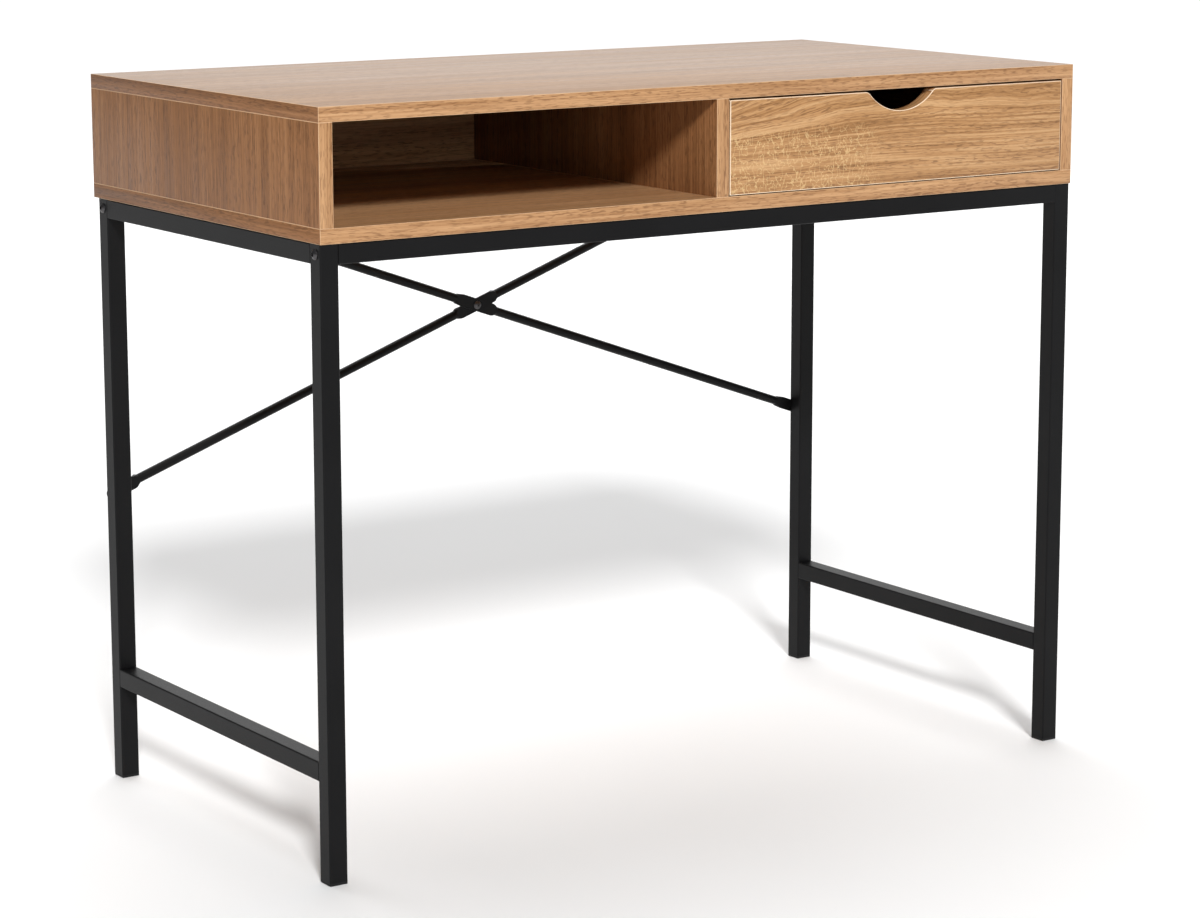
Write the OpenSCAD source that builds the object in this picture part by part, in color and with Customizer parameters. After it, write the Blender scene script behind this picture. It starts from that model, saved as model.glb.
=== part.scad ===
// Writing desk: an oak-faced board carcass with an open cubby and one drawer,
// bolted onto a square steel tube frame with crossed braces at the back.
// X runs across the desk, -Y is the front, Z is up. The origin is on the floor
// below the middle of the desk.

/* [Overall size] */
// Width of the desk across its boards
desk_w = 940; // [700:10:1400]
// Depth of the desk from front to back
desk_d = 485; // [440:5:700]
// Height of the desk from the floor to the top
desk_h = 760; // [640:5:950]

/* [Carcass] */
// Thickness of the carcass boards and of the drawer front
board_t = 15; // [15:1:22]
// Clear height between the bottom board and the top board
bay_h = 100; // [90:5:160]
// Clear width of the drawer bay
drawer_bay_w = 449; // [300:1:520]
// Distance from the back edge of the boards to the back panel
back_inset = 5; // [3:1:20]

/* [Steel frame] */
// Side of the square tube
tube = 20; // [20:1:30]
// Wall of the square tube
tube_wall = 1.2; // [1:0.1:2]
// Outer corner radius of the square tube
tube_r = 1.5; // [0.8:0.1:2.5]
// Step from the carcass side in to the frame
frame_inset_side = 0.5; // [0:0.5:10]
// Step from the carcass front back to the frame
frame_inset_front = 1.5; // [0:0.5:10]
// Step from the carcass back in to the frame, which takes up the braces
frame_inset_back = 10; // [10:0.5:30]
// Height of the underside of the lower side rails
lower_rail_z = 102; // [40:1:300]
// Thickness of the foot cap under each leg
foot_t = 3; // [2:0.5:8]
// Length of the foot cap's plug inside the leg
foot_plug_l = 16; // [8:1:30]

/* [Back braces] */
// Diameter of the brace tube
brace_d = 10; // [7:0.5:10]
// Wall of the brace tube
brace_wall = 1; // [0.8:0.1:1.5]
// Width of the flattened stretches of a brace
flat_w = 14; // [11:0.5:16]
// Thickness of the flattened stretches of a brace
flat_t = 2; // [1.5:0.1:2.2]
// Height of the lower brace bolts on the back legs
brace_low_z = 312; // [180:1:450]
// Distance from a brace's upper bolt to the end of the rear rail
brace_top_in = 49.5; // [35:0.5:120]

/* [Drawer] */
// Gap beside the drawer front, on each side
front_gap_side = 1.5; // [1:0.1:4]
// Gap above the drawer front
front_gap_top = 2; // [1:0.1:5]
// Gap below the drawer front
front_gap_bottom = 1; // [0.5:0.1:5]
// Thickness of the drawer's sides and back
box_t = 12; // [12:1:15]
// Height of the drawer's sides
box_h = 75; // [55:1:78]
// Length of the drawer's sides behind the drawer front, and of its runners
box_l = 400; // [370:10:440]
// Thickness of the drawer's bottom sheet
sheet_t = 3; // [2.5:0.5:5]
// Height of the bottom sheet above the lower edge of the sides
sheet_up = 8; // [6:1:15]
// Radius of the scooped finger notch
notch_r = 57; // [35:1:90]
// Depth of the finger notch at its middle
notch_depth = 21; // [12:1:28]
// Radius of the notch's rounded shoulders
notch_shoulder_r = 8; // [3:1:12]

/* [Drawer runners] */
// Space for a runner between the bay wall and the drawer side
runner_space = 12.5; // [12.5:0.5:15]
// Thickness of the runner steel
steel_t = 1.2; // [1:0.1:1.3]
// Height of the cabinet runner above the bottom board
runner_up = 6; // [5:0.5:12]
// Radius of the nylon rollers
roller_r = 8; // [7:0.5:9]
// Distance that the drawer pulls out
travel = 300; // [100:5:300]

/* [Hidden] */

oak = "#c69a6b";
oak_sheet = "#b98d60";
black_steel = "#26262a";
white_steel = "#dcdcd6";
nylon = "#e8e6de";
zinc = "#9a9ca0";
beech = "#d8b88a";
rubber_black = "#1b1b1d";

arc_fn = 48;     // facets setting of every true circle
small = 0.05;    // clearance of a screw or pin in the hole that holds it, and similar small steps
reach = 1;       // how far a cut runs past the face that it opens
blend = 0.02;    // how far two arcs that meet smoothly run into each other

// Faces of the carcass
side_x = desk_w / 2;
front_y = -desk_d / 2;
back_y = desk_d / 2;
bottom_z = desk_h - 2 * board_t - bay_h;
floor_z = bottom_z + board_t;
ceiling_z = floor_z + bay_h;
back_panel_y = back_y - back_inset - board_t;
bay_x1 = side_x - board_t;
bay_x0 = bay_x1 - drawer_bay_w;

// Cam fittings that hold the top board down
cam_r = 7.5;
cam_past_axis = 4.5;
cam_depth = board_t / 2 + cam_past_axis;
cam_from_edge = 24;
cam_bolt_r = 2.5;
cam_bolt_head_r = 3.5;
cam_bolt_head_l = 3;
cam_bolt_thread_l = 11;
cam_bore_r = 4;
cam_from_end = 60;
cam_recess_w = 1.6;
cam_recess_l = 7;
cam_recess_depth = 2;
upright_ys = [front_y + cam_from_end, back_panel_y - cam_from_end];

// Wooden dowels between the uprights and the top board
dowel_r = 4;
dowel_l = 30;
dowel_in_top = 10;
dowel_from_end = 100;
back_dowel_from_end = 120;
dowel_ys = [front_y + dowel_from_end, back_panel_y - dowel_from_end];

// Screws driven up through the bottom board into the uprights
base_screw_r = 3.5;
base_screw_head_r = 5;
base_screw_head_l = 3;
base_screw_l = 45;
base_screw_from_end = 75;
base_screw_ys = [front_y + base_screw_from_end, back_panel_y - base_screw_from_end];

// Centres of the uprights across the desk: left side, divider, right side
upright_xs = [-side_x + board_t / 2, bay_x0 - board_t / 2, side_x - board_t / 2];
back_panel_mid_y = back_panel_y + board_t / 2;
back_dowel_xs = [-bay_x1 + back_dowel_from_end, bay_x1 - back_dowel_from_end];
back_screw_xs = [-bay_x1 + base_screw_from_end, bay_x1 - base_screw_from_end];

// Steel frame
leg_x = side_x - frame_inset_side - tube / 2;
leg_front_y = front_y + frame_inset_front + tube / 2;
leg_back_y = back_y - frame_inset_back - tube / 2;
rail_z = bottom_z - tube / 2;
rail_half_l = leg_x - tube / 2;
side_rail_y0 = leg_front_y + tube / 2;
side_rail_y1 = leg_back_y - tube / 2;
tube_inner = tube - 2 * tube_wall;
plug_fit = 0.1;
frame_back_y = leg_back_y + tube / 2;

// M6 bolts of the frame, with button heads and hexagon sockets
m6_r = 3;
m6_clear_r = 3.3;
m6_head_r = 5.25;
m6_head_h = 3.3;
m6_socket = 4;
m6_flush_r = 6;
m6_flush_l = 3;
button_rim = 0.6;
socket_depth = 1.9;
frame_bolt_in_plug = 16;
end_plug_l = 25;
carcass_bolt_in_board = 10;
insert_r = 5;
insert_l = 11;
carcass_bolt_from_leg = 110;
carcass_bolt_from_middle = 230;
side_rail_bolt_ys = [side_rail_y0 + carcass_bolt_from_leg, side_rail_y1 - carcass_bolt_from_leg];
carcass_bolt_points = concat(
    [for (s = [-1, 1], y = side_rail_bolt_ys) [s * leg_x, y]],
    [for (s = [-1, 1], y = [leg_front_y, leg_back_y]) [s * carcass_bolt_from_middle, y]]
);

// M5 fasteners of the braces
m5_r = 2.5;
m5_clear_r = 2.7;
m5_head_r = 4.75;
m5_head_h = 2.75;
m5_socket = 3;
m5_nut_w = 8;
m5_nut_h = 4;
rivet_nut_r = 3.5;
rivet_nut_l = 12;
brace_bolt_l = 10;

// Brace geometry: each runs from a back leg up to the far end of the rear rail
brace_top_x = rail_half_l - brace_top_in;
brace_rise = rail_z - brace_low_z;
brace_run = leg_x + brace_top_x;
brace_l = sqrt(brace_run * brace_run + brace_rise * brace_rise);
brace_angle = atan2(brace_rise, brace_run);
brace_cross_s = brace_l * leg_x / brace_run;
brace_cross_z = brace_low_z + brace_rise * leg_x / brace_run;
flat_tip = 9.5;
flat_end_l = 24;
// The middle flats reach past the place where the two braces stop overlapping
flat_spare = 1.4;
flat_middle_l = flat_w / 2 / tan(brace_angle) + flat_spare;
flare_l = 8;
flare_overlap = 1;
flare_step = 0.2;
flare_start_r = 9.5;

// Drawer box and bottom sheet
drawer_front_x0 = bay_x0 + front_gap_side;
drawer_front_w = drawer_bay_w - 2 * front_gap_side;
drawer_front_z0 = floor_z + front_gap_bottom;
drawer_front_h = bay_h - front_gap_bottom - front_gap_top;
drawer_front_top = drawer_front_z0 + drawer_front_h;
drawer_mid_x = bay_x0 + drawer_bay_w / 2;
box_y0 = front_y + board_t;
box_y1 = box_y0 + box_l;
box_x0 = bay_x0 + runner_space;
box_x1 = bay_x1 - runner_space;
groove_depth = 6;
sheet_play = 0.5;
groove_fit = 0.1;
box_back_drop = 4;

// Runner profile, measured from the bay wall (u) and up from the channel floor
channel_z = floor_z + runner_up + steel_t;
channel_w = 10.3;
lip_h = 1.5;
channel_top_w = 6;
top_flange_from_front = 40;
runner_from_front = 1.5;
drawer_runner_from_front = 0.5;
roller_gap = 0.3;
drawer_flange_u = 3;
web_u = runner_space - steel_t;
drawer_flange_z = channel_z + 2 * roller_r + 3 * roller_gap;
flange_play = 0.8;
box_above_channel = 0.8;
channel_top_z = drawer_flange_z + steel_t + flange_play;
box_z0 = channel_z + box_above_channel;
sheet_z = box_z0 + sheet_up;
rear_stop_gap = 0.3;
cabinet_runner_y0 = box_y0 + runner_from_front;
cabinet_runner_y1 = box_y1 + rear_stop_gap + steel_t;
runner_l = cabinet_runner_y1 - cabinet_runner_y0;
drawer_runner_y0 = box_y0 + drawer_runner_from_front;
roller_from_end = 12;
cabinet_roller_y = cabinet_runner_y0 + roller_from_end;
drawer_roller_y = box_y1 - roller_from_end;
cabinet_roller_z = drawer_flange_z - roller_gap - roller_r;
drawer_roller_z = channel_z + roller_gap + roller_r;
roller_w = 5.2;
cabinet_roller_u = 2.6;
drawer_roller_u = 3.6;
hub_r = 4;
hub_gap = 0.2;
pin_r = 2;
pin_fit = 0.05;
pin_head_r = 3.4;
pin_head_t = 0.8;
recess_depth = 1;
recess_r = 3.8;
stop_h = 2.5;
stop_l = 3;
stop_gap = 0.3;
stop_reach = sqrt(pow(roller_r, 2) - pow(roller_r - stop_h + roller_gap, 2));
stop_y = drawer_roller_y - travel - stop_reach - stop_gap - stop_l;

// Small screws of the runners
runner_screw_r = 1.75;
runner_screw_head_r = 3.4;
runner_screw_head_t = 1.6;
runner_screw_l = 12;
runner_screw_from_end = 45;
runner_screw_z = channel_z + roller_r;
flange_screw_u = runner_space + 3;
flange_screw_r = 1.5;
flange_screw_head_r = 2.8;
flange_screw_head_t = 1.2;
cabinet_screw_ys = [
    cabinet_runner_y0 + runner_screw_from_end,
    (cabinet_runner_y0 + cabinet_runner_y1) / 2,
    cabinet_runner_y1 - runner_screw_from_end
];
drawer_screw_ys = [box_y0 + runner_screw_from_end, (box_y0 + box_y1) / 2, box_y1 - runner_screw_from_end];

// Cam fittings and screws of the drawer box
box_cam_r = 6;
box_cam_past_axis = 3.4;
box_cam_depth = box_t / 2 + box_cam_past_axis;
box_cam_bolt_r = 1.8;
box_cam_bolt_head_r = 2.6;
box_cam_bore_r = 3;
box_cam_from_front = 24;
box_cam_zs = [sheet_z + sheet_t + 12, box_z0 + box_h - 14];
box_screw_r = 2;
box_screw_head_r = 3.8;
box_screw_head_l = 2.4;
box_screw_l = 40;
box_screw_in = 14;
box_back_h = box_h - sheet_up - sheet_t - box_back_drop;
box_screw_zs = [sheet_z + sheet_t + box_screw_in, sheet_z + sheet_t + box_back_h - box_screw_in];

// Board given by its lowest corner and its size
module board(corner, size) {
    translate(corner) cube(size);
}

// Straight bore or pin of radius r along X, Y or Z from a start point
module rod_x(p, r, l) {
    translate(p) rotate([0, 90, 0]) cylinder(r = r, h = l, $fn = arc_fn);
}

module rod_y(p, r, l) {
    translate(p) rotate([-90, 0, 0]) cylinder(r = r, h = l, $fn = arc_fn);
}

module rod_z(p, r, l) {
    translate(p) cylinder(r = r, h = l, $fn = arc_fn);
}

// Hexagon of width w across its flats, standing on the XY plane
module hexagon(w, h) {
    cylinder(r = w / sqrt(3), h = h, $fn = 6);
}

// Square tube standing on the XY plane around the Z axis
module square_tube(length) {
    linear_extrude(length) difference() {
        tube_outline();
        square(tube_inner, center = true);
    }
}

module tube_outline() {
    square([tube - 2 * tube_r, tube], center = true);
    square([tube, tube - 2 * tube_r], center = true);
    for (x = [-1, 1], y = [-1, 1])
        translate([x * (tube / 2 - tube_r), y * (tube / 2 - tube_r)]) circle(r = tube_r, $fn = arc_fn);
}

// Button head with a hexagon socket, its seat on the XY plane and its crown up
module button_head(r, h, socket) {
    crown = h - button_rim;
    dome_r = (r * r + crown * crown) / (2 * crown);
    difference() {
        intersection() {
            cylinder(r = r, h = h, $fn = arc_fn);
            translate([0, 0, h - dome_r]) sphere(r = dome_r, $fn = arc_fn);
        }
        translate([0, 0, h - socket_depth]) hexagon(socket, socket_depth + reach);
    }
}

// Button-head bolt: seat on the XY plane, crown up, shank of length l down
module button_bolt(r, l, head_r, head_h, socket) {
    button_head(head_r, head_h, socket);
    translate([0, 0, -l]) cylinder(r = r, h = l, $fn = arc_fn);
}

// Countersunk screw: head flush with the XY plane, shank of length l up
module flush_screw(r, l, head_r, head_l) {
    cylinder(r = r, h = l, $fn = arc_fn);
    cylinder(r1 = head_r, r2 = r, h = head_l, $fn = arc_fn);
}

// ---- Carcass ----

// Holes in an upright's top edge and cam face for its cam fittings and dowels
module upright_bores(x, cam_side) {
    face_x = x + cam_side * board_t / 2;
    for (y = upright_ys) {
        rod_z([x, y, ceiling_z - cam_from_edge], cam_bore_r, cam_from_edge + reach);
        rod_x([cam_side > 0 ? face_x - cam_depth : face_x - reach, y, ceiling_z - cam_from_edge],
              cam_r + small, cam_depth + reach);
    }
    for (y = dowel_ys) rod_z([x, y, ceiling_z - dowel_l + dowel_in_top], dowel_r + small, dowel_l);
    for (y = base_screw_ys) rod_z([x, y, floor_z - reach], base_screw_r + small, base_screw_l);
}

module upright(x, depth, cam_side) {
    difference() {
        board([x - board_t / 2, front_y, floor_z], [board_t, depth, bay_h]);
        upright_bores(x, cam_side);
    }
}

module top_panel() {
    color(oak) difference() {
        board([-side_x, front_y, ceiling_z], [desk_w, desk_d, board_t]);
        for (x = upright_xs, y = upright_ys)
            rod_z([x, y, ceiling_z - reach], cam_bolt_r + small, cam_bolt_thread_l + reach);
        for (x = upright_xs, y = dowel_ys)
            rod_z([x, y, ceiling_z - reach], dowel_r + small, dowel_in_top + reach);
        for (x = back_dowel_xs)
            rod_z([x, back_panel_mid_y, ceiling_z - reach], dowel_r + small, dowel_in_top + reach);
    }
}

module bottom_panel() {
    color(oak) difference() {
        board([-side_x, front_y, bottom_z], [desk_w, desk_d, board_t]);
        for (x = upright_xs, y = base_screw_ys) base_screw_hole(x, y);
        for (x = back_screw_xs) base_screw_hole(x, back_panel_mid_y);
        for (p = carcass_bolt_points)
            rod_z([p[0], p[1], bottom_z - reach], insert_r + small, insert_l + reach);
    }
}

module base_screw_hole(x, y) {
    translate([x, y, bottom_z]) {
        translate([0, 0, -reach]) cylinder(r = base_screw_r + small, h = board_t + 2 * reach, $fn = arc_fn);
        cylinder(r1 = base_screw_head_r + small, r2 = base_screw_r + small, h = base_screw_head_l, $fn = arc_fn);
        translate([0, 0, -reach]) cylinder(r = base_screw_head_r + small, h = reach, $fn = arc_fn);
    }
}

module left_side_panel() {
    color(oak) upright(upright_xs[0], desk_d, 1);
}

module right_side_panel() {
    color(oak) difference() {
        upright(upright_xs[2], desk_d, -1);
        for (y = cabinet_screw_ys)
            rod_x([bay_x1 - reach, y, runner_screw_z], runner_screw_r + small, runner_screw_l + reach);
    }
}

module divider_panel() {
    color(oak) difference() {
        upright(upright_xs[1], back_panel_y - front_y, 1);
        for (y = cabinet_screw_ys)
            rod_x([bay_x0 - runner_screw_l, y, runner_screw_z], runner_screw_r + small, runner_screw_l + reach);
    }
}

module back_panel() {
    color(oak) difference() {
        board([-bay_x1, back_panel_y, floor_z], [2 * bay_x1, board_t, bay_h]);
        for (x = back_dowel_xs)
            rod_z([x, back_panel_mid_y, ceiling_z - dowel_l + dowel_in_top], dowel_r + small, dowel_l);
        for (x = back_screw_xs) rod_z([x, back_panel_mid_y, floor_z - reach], base_screw_r + small, base_screw_l);
    }
}

module cam_bolts() {
    color(zinc) for (x = upright_xs, y = upright_ys) {
        rod_z([x, y, ceiling_z - cam_from_edge], cam_bolt_r, cam_from_edge + cam_bolt_thread_l);
        rod_z([x, y, ceiling_z - cam_from_edge], cam_bolt_head_r, cam_bolt_head_l);
    }
}

// Cam lock around a bolt that comes in along Z, with its face at +u
module cam_lock(r, depth, bolt_head_r) {
    difference() {
        cylinder(r = r, h = depth, $fn = arc_fn);
        for (a = [0, 90]) rotate(a)
            translate([-cam_recess_l / 2, -cam_recess_w / 2, depth - cam_recess_depth])
                cube([cam_recess_l, cam_recess_w, cam_recess_depth + reach]);
        translate([0, 0, depth - board_t / 2 - bolt_head_r]) translate([-bolt_head_r, -bolt_head_r, 0])
            cube([r + bolt_head_r + reach, 2 * bolt_head_r, 2 * bolt_head_r]);
    }
}

module cam_locks() {
    color(zinc) for (i = [0 : 2], y = upright_ys) {
        side = i == 2 ? -1 : 1;
        face_x = upright_xs[i] + side * board_t / 2;
        translate([face_x - side * cam_depth, y, ceiling_z - cam_from_edge])
            rotate([0, side * 90, 0]) rotate(side > 0 ? 180 : 0) cam_lock(cam_r, cam_depth, cam_bolt_head_r + small);
    }
}

module dowels() {
    color(beech) {
        for (x = upright_xs, y = dowel_ys) rod_z([x, y, ceiling_z + dowel_in_top - dowel_l], dowel_r, dowel_l);
        for (x = back_dowel_xs)
            rod_z([x, back_panel_mid_y, ceiling_z + dowel_in_top - dowel_l], dowel_r, dowel_l);
    }
}

module base_screws() {
    color(zinc) {
        for (x = upright_xs, y = base_screw_ys) translate([x, y, bottom_z]) base_screw();
        for (x = back_screw_xs) translate([x, back_panel_mid_y, bottom_z]) base_screw();
    }
}

module base_screw() {
    flush_screw(base_screw_r, base_screw_l, base_screw_head_r, base_screw_head_l);
}

// ---- Drawer ----

// Outline of the finger notch around its middle, with the board edge at y = 0
module notch_outline() {
    rise = notch_r - notch_depth;
    shoulder_y = blend - notch_shoulder_r;
    shoulder_x = sqrt(pow(notch_r + notch_shoulder_r - blend, 2) - pow(rise - shoulder_y, 2));
    translate([0, rise]) circle(r = notch_r, $fn = arc_fn);
    for (s = [-1, 1]) difference() {
        polygon([[s * shoulder_x, shoulder_y], [s * shoulder_x, rise], [0, rise]]);
        translate([s * shoulder_x, shoulder_y]) circle(r = notch_shoulder_r, $fn = arc_fn);
    }
}

module drawer_front() {
    color(oak) difference() {
        board([drawer_front_x0, front_y, drawer_front_z0], [drawer_front_w, board_t, drawer_front_h]);
        translate([drawer_mid_x, box_y0 + reach, drawer_front_top]) rotate([90, 0, 0])
            linear_extrude(board_t + 2 * reach) notch_outline();
        board([box_x0 + box_t - groove_depth, box_y0 - groove_depth, sheet_z - groove_fit],
              [box_x1 - box_x0 - 2 * (box_t - groove_depth), groove_depth + reach, sheet_t + 2 * groove_fit]);
        for (x = [box_x0 + box_t / 2, box_x1 - box_t / 2], z = box_cam_zs)
            rod_y([x, box_y0 - cam_bolt_thread_l, z], box_cam_bolt_r + small, cam_bolt_thread_l + reach);
    }
}

// Side board of the drawer: x0 is its outer face, in_dir points into the drawer
module drawer_side(x_out, in_dir) {
    low_x = in_dir > 0 ? x_out : x_out - box_t;
    inner_x = x_out + in_dir * box_t;
    difference() {
        board([low_x, box_y0, box_z0], [box_t, box_l, box_h]);
        board([in_dir > 0 ? inner_x - groove_depth : inner_x - reach, box_y0 - reach, sheet_z - groove_fit],
              [groove_depth + reach, box_l + 2 * reach, sheet_t + 2 * groove_fit]);
        for (z = box_cam_zs) {
            rod_y([low_x + box_t / 2, box_y0 - reach, z], box_cam_bore_r, box_cam_from_front + reach);
            rod_x([in_dir > 0 ? inner_x - box_cam_depth : inner_x - reach, box_y0 + box_cam_from_front, z],
                  box_cam_r + small, box_cam_depth + reach);
        }
        for (z = box_screw_zs)
            translate([x_out, box_y1 - box_t / 2, z]) rotate([0, in_dir * 90, 0]) {
                flush_screw(box_screw_r + small, box_t + reach, box_screw_head_r + small, box_screw_head_l);
                translate([0, 0, -reach]) cylinder(r = box_screw_head_r + small, h = reach, $fn = arc_fn);
            }
        for (y = drawer_screw_ys)
            rod_z([x_out + in_dir * (flange_screw_u - runner_space), y, box_z0 - reach],
                  flange_screw_r + small, runner_screw_l + reach);
    }
}

module drawer_left_side() {
    color(oak) drawer_side(box_x0, 1);
}

module drawer_right_side() {
    color(oak) drawer_side(box_x1, -1);
}

module drawer_back() {
    color(oak) difference() {
        board([box_x0 + box_t, box_y1 - box_t, sheet_z + sheet_t + groove_fit],
              [box_x1 - box_x0 - 2 * box_t, box_t, box_back_h]);
        for (z = box_screw_zs) {
            rod_x([box_x0 + box_t - reach, box_y1 - box_t / 2, z], box_screw_r + small, box_screw_l);
            rod_x([box_x1 - box_t + reach - box_screw_l, box_y1 - box_t / 2, z], box_screw_r + small, box_screw_l);
        }
    }
}

module drawer_bottom() {
    color(oak_sheet)
        board([box_x0 + box_t - groove_depth + sheet_play, box_y0 - groove_depth + sheet_play, sheet_z],
              [box_x1 - box_x0 - 2 * (box_t - groove_depth + sheet_play),
               box_l + groove_depth - sheet_play, sheet_t]);
}

module drawer_cam_bolts() {
    color(zinc) for (x = [box_x0 + box_t / 2, box_x1 - box_t / 2], z = box_cam_zs) {
        rod_y([x, box_y0 - cam_bolt_thread_l, z], box_cam_bolt_r, cam_bolt_thread_l + box_cam_from_front);
        rod_y([x, box_y0 + box_cam_from_front - cam_bolt_head_l, z], box_cam_bolt_head_r, cam_bolt_head_l);
    }
}

module drawer_cam_locks() {
    color(zinc) for (side = [1, -1], z = box_cam_zs) {
        inner_x = side > 0 ? box_x0 + box_t : box_x1 - box_t;
        bore_r = box_cam_bolt_head_r + small;
        translate([inner_x - side * box_cam_depth, box_y0 + box_cam_from_front, z]) rotate([0, side * 90, 0])
            difference() {
                cylinder(r = box_cam_r, h = box_cam_depth, $fn = arc_fn);
                for (a = [0, 90]) rotate(a)
                    translate([-cam_recess_l / 2, -cam_recess_w / 2, box_cam_depth - cam_recess_depth])
                        cube([cam_recess_l, cam_recess_w, cam_recess_depth + reach]);
                translate([-bore_r, -box_cam_r - reach, box_cam_depth - box_t / 2 - bore_r])
                    cube([2 * bore_r, box_cam_r + bore_r + reach, 2 * bore_r]);
            }
    }
}

module drawer_back_screws() {
    color(zinc) for (side = [1, -1], z = box_screw_zs)
        translate([side > 0 ? box_x0 : box_x1, box_y1 - box_t / 2, z]) rotate([0, side * 90, 0])
            flush_screw(box_screw_r, box_screw_l, box_screw_head_r, box_screw_head_l);
}

// ---- Drawer runners ----

// Draws in runner coordinates: X is the distance from the bay wall into the bay
module at_bay_wall(side) {
    if (side < 0) translate([bay_x0, 0, 0]) children();
    else translate([bay_x1, 0, 0]) mirror([1, 0, 0]) children();
}

module cabinet_runner() {
    y0 = cabinet_runner_y0;
    difference() {
        union() {
            board([0, y0, channel_z - steel_t], [steel_t, runner_l, channel_top_z - channel_z + 2 * steel_t]);
            board([0, y0, channel_z - steel_t], [channel_w, runner_l, steel_t]);
            board([channel_w - steel_t, y0, channel_z - steel_t], [steel_t, runner_l, lip_h + steel_t]);
            board([0, y0 + top_flange_from_front, channel_top_z],
                  [channel_top_w, runner_l - top_flange_from_front, steel_t]);
            board([drawer_roller_u, stop_y, channel_z - steel_t / 2], [roller_w, stop_l, stop_h + steel_t / 2]);
            board([0, cabinet_runner_y1 - steel_t, channel_z - steel_t],
                  [channel_w, steel_t, channel_top_z - channel_z + 2 * steel_t]);
        }
        for (y = cabinet_screw_ys) rod_x([-reach, y, runner_screw_z], runner_screw_r + small, steel_t + 2 * reach);
        rod_x([-reach, cabinet_roller_y, cabinet_roller_z], pin_r + small, steel_t + 2 * reach);
    }
}

module left_cabinet_runner() {
    color(white_steel) at_bay_wall(-1) cabinet_runner();
}

module right_cabinet_runner() {
    color(white_steel) at_bay_wall(1) cabinet_runner();
}

module drawer_runner() {
    y0 = drawer_runner_y0;
    l = box_y1 - y0;
    difference() {
        union() {
            board([web_u, y0, box_z0 - steel_t], [steel_t, l, drawer_flange_z - box_z0 + 2 * steel_t]);
            board([drawer_flange_u, y0, drawer_flange_z], [runner_space - drawer_flange_u, l, steel_t]);
            board([web_u, y0, box_z0 - steel_t], [box_t + steel_t, l, steel_t]);
        }
        for (y = drawer_screw_ys)
            rod_z([flange_screw_u, y, box_z0 - steel_t - reach], flange_screw_r + small, steel_t + 2 * reach);
        rod_x([web_u - reach, drawer_roller_y, drawer_roller_z], pin_r + small, steel_t + 2 * reach);
    }
}

module left_drawer_runner() {
    color(white_steel) at_bay_wall(-1) drawer_runner();
}

module right_drawer_runner() {
    color(white_steel) at_bay_wall(1) drawer_runner();
}

// Roller whose tyre starts at u0; the hub and the pin head lie on opposite ends
module roller(u0, y, z, hub_u, head_u) {
    difference() {
        union() {
            rod_x([u0, y, z], roller_r, roller_w);
            rod_x([min(u0, hub_u), y, z], hub_r, abs(hub_u - u0) + (hub_u > u0 ? 0 : roller_w));
        }
        rod_x([min(u0, hub_u) - reach, y, z], pin_r + pin_fit, 2 * runner_space);
        rod_x([head_u, y, z], recess_r, recess_depth + reach);
    }
}

module cabinet_roller() {
    roller(cabinet_roller_u, cabinet_roller_y, cabinet_roller_z, steel_t + hub_gap,
           cabinet_roller_u + roller_w - recess_depth);
}

module drawer_roller() {
    roller(drawer_roller_u, drawer_roller_y, drawer_roller_z, web_u - hub_gap, drawer_roller_u - reach);
}

module left_cabinet_roller() {
    color(nylon) at_bay_wall(-1) cabinet_roller();
}

module right_cabinet_roller() {
    color(nylon) at_bay_wall(1) cabinet_roller();
}

module left_drawer_roller() {
    color(nylon) at_bay_wall(-1) drawer_roller();
}

module right_drawer_roller() {
    color(nylon) at_bay_wall(1) drawer_roller();
}

module cabinet_roller_pins() {
    head_u = cabinet_roller_u + roller_w - recess_depth + hub_gap / 2;
    color(zinc) for (side = [-1, 1]) at_bay_wall(side) {
        rod_x([0, cabinet_roller_y, cabinet_roller_z], pin_r, head_u);
        rod_x([head_u, cabinet_roller_y, cabinet_roller_z], pin_head_r, pin_head_t);
    }
}

module drawer_roller_pins() {
    head_u = drawer_roller_u + recess_depth - hub_gap / 2;
    color(zinc) for (side = [-1, 1]) at_bay_wall(side) {
        rod_x([head_u, drawer_roller_y, drawer_roller_z], pin_r, runner_space - head_u);
        rod_x([head_u - pin_head_t, drawer_roller_y, drawer_roller_z], pin_head_r, pin_head_t);
    }
}

module cabinet_runner_screws() {
    color(zinc) for (side = [-1, 1], y = cabinet_screw_ys) at_bay_wall(side) {
        rod_x([steel_t - runner_screw_l, y, runner_screw_z], runner_screw_r, runner_screw_l);
        rod_x([steel_t, y, runner_screw_z], runner_screw_head_r, runner_screw_head_t);
    }
}

module drawer_runner_screws() {
    color(zinc) for (side = [-1, 1], y = drawer_screw_ys) at_bay_wall(side) {
        rod_z([flange_screw_u, y, box_z0 - steel_t], flange_screw_r, runner_screw_l);
        rod_z([flange_screw_u, y, box_z0 - steel_t - flange_screw_head_t], flange_screw_head_r, flange_screw_head_t);
    }
}

// ---- Steel frame ----

module leg(side, y) {
    difference() {
        translate([side * leg_x, y, foot_t]) square_tube(bottom_z - foot_t);
        rod_x([side * leg_x - tube, y, rail_z], m6_clear_r, 2 * tube);
    }
}

module back_leg(side) {
    difference() {
        leg(side, leg_back_y);
        rod_y([side * leg_x, leg_back_y, brace_low_z], rivet_nut_r + small, tube);
    }
}

module front_left_leg() {
    color(black_steel) leg(-1, leg_front_y);
}

module front_right_leg() {
    color(black_steel) leg(1, leg_front_y);
}

module back_left_leg() {
    color(black_steel) back_leg(-1);
}

module back_right_leg() {
    color(black_steel) back_leg(1);
}

module side_rail(side, z) {
    translate([side * leg_x, side_rail_y0, z]) rotate([-90, 0, 0]) square_tube(side_rail_y1 - side_rail_y0);
}

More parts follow.
